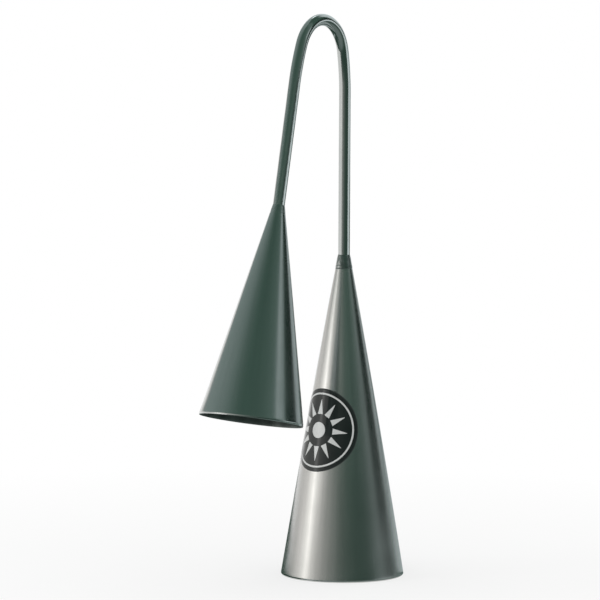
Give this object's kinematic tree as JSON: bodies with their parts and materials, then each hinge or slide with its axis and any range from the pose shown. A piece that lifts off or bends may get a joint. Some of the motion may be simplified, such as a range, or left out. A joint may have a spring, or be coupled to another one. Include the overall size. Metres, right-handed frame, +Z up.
{
  "type": "agogo bell",
  "caption": "Pair of conical sheet steel bells on one bent steel rod that serves as handle and spring; struck with a beater or squeezed together to click.",
  "frame": {"origin": "On the ground under the part, in the middle of the footprint's box in X and Y; the large bell stands on its mouth at z = 0.", "axes": "+Z up, along the large bell's axis; the bow and both bells' axes lie in the XZ plane, the large bell towards +X and the small bell towards -X."},
  "size_m": [0.1872, 0.0844, 0.384],
  "materials": {
    "large_bell_steel": "rolled sheet, satin under clear lacquer, faint lines up its length",
    "small_bell_steel": "rolled sheet, satin under clear lacquer, faint lines up its length",
    "rod_steel": "drawn bar, rubbed along its length, lacquered",
    "weld_steel": "ground weld under the same lacquer, darker than the sheet",
    "badge_black": "smooth black label",
    "badge_silver": "silver ink"
  },
  "bodies": {
    "large_side": {"large_bell": "large_bell_steel", "large_seam_weld": "weld_steel", "large_neck_weld": "weld_steel", "large_leg": "rod_steel", "handle_bow": "rod_steel", "badge_disc": "badge_black", "badge_ring": "badge_silver", "badge_rays": "badge_silver"},
    "small_side": {"small_bell": "small_bell_steel", "small_seam_weld": "weld_steel", "small_neck_weld": "weld_steel", "small_leg": "rod_steel"}
  },
  "joints": [
    {"name": "squeeze", "type": "hinge", "parent": "large_side", "child": "small_side", "pos_m": [0.0227, 0, 0.35375], "axis": [0, -1, 0], "range_deg": [-3, 11.7], "stiffness_Nm_per_rad": 151, "deforming": ["handle_bow"]}
  ]
}
